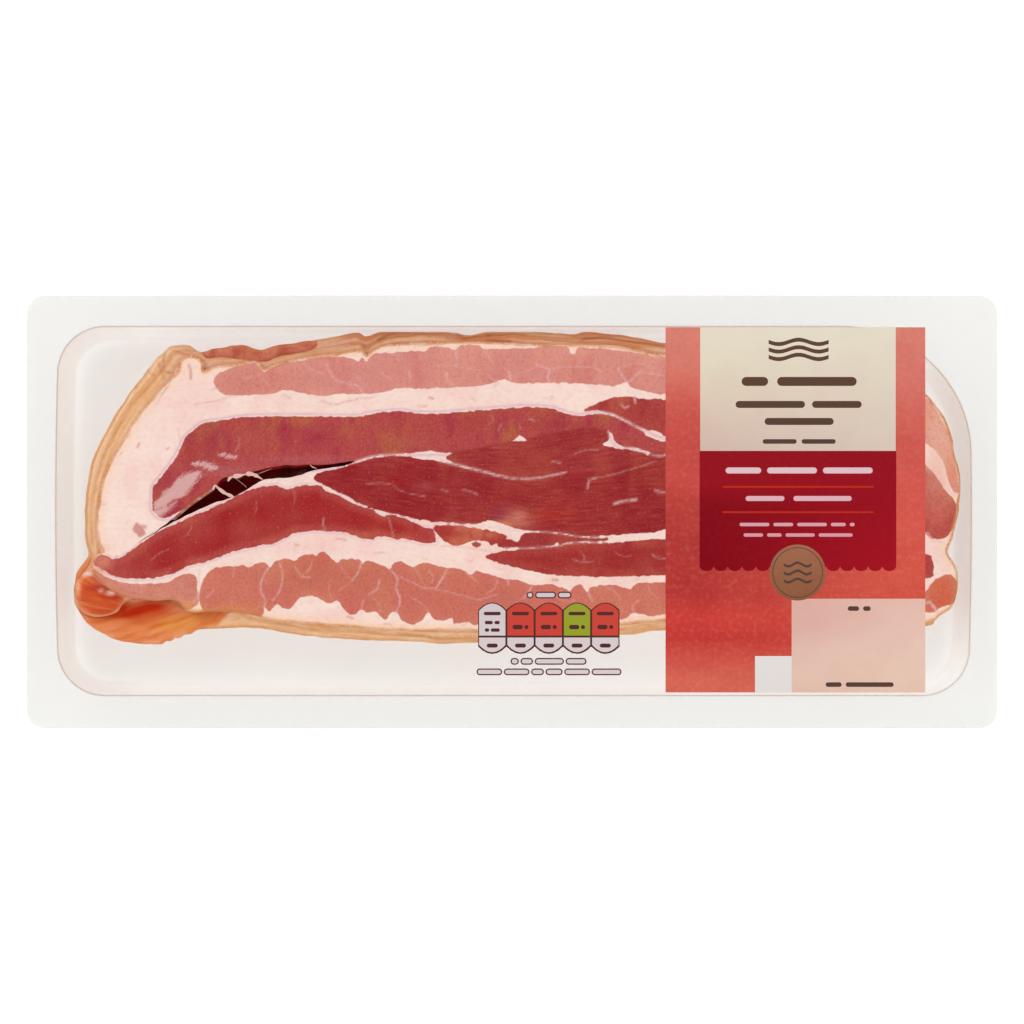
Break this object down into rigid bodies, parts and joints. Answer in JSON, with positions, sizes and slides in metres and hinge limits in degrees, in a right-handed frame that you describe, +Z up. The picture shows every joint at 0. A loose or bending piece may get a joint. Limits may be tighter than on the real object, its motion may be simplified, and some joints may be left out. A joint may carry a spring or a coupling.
{
  "type": "bacon pack",
  "caption": "Flat clear tray of stacked smoked streaky bacon rashers under a clear sealed film with a red label.",
  "frame": {"origin": "middle of the pack's footprint, on the surface that the tray stands on", "axes": "+X along the pack towards the labelled end, +Y across it towards the wide round corner's side, +Z up out of the film"},
  "size_m": [0.2524, 0.1126, 0.0226],
  "materials": {
    "tray": "clear thermoformed plastic",
    "film": "clear glossy lidding film, sealed on the flange",
    "label": "coral red printed label with a fine paper grain",
    "panel": "small coloured print on the film",
    "meat": "moist raw bacon, dark and pink lean with creamy fat"
  },
  "bodies": {
    "root": {"tray": "tray", "film": "film", "label": "label", "panel": "panel", "rasher_01": "meat", "rasher_02": "meat", "rasher_03": "meat", "rasher_04": "meat", "rasher_05": "meat", "rasher_06": "meat", "rasher_07": "meat", "rasher_08": "meat", "rasher_09": "meat", "rasher_10": "meat", "rasher_11": "meat", "rasher_12": "meat", "rasher_13": "meat", "rasher_14": "meat"}
  },
  "joints": []
}
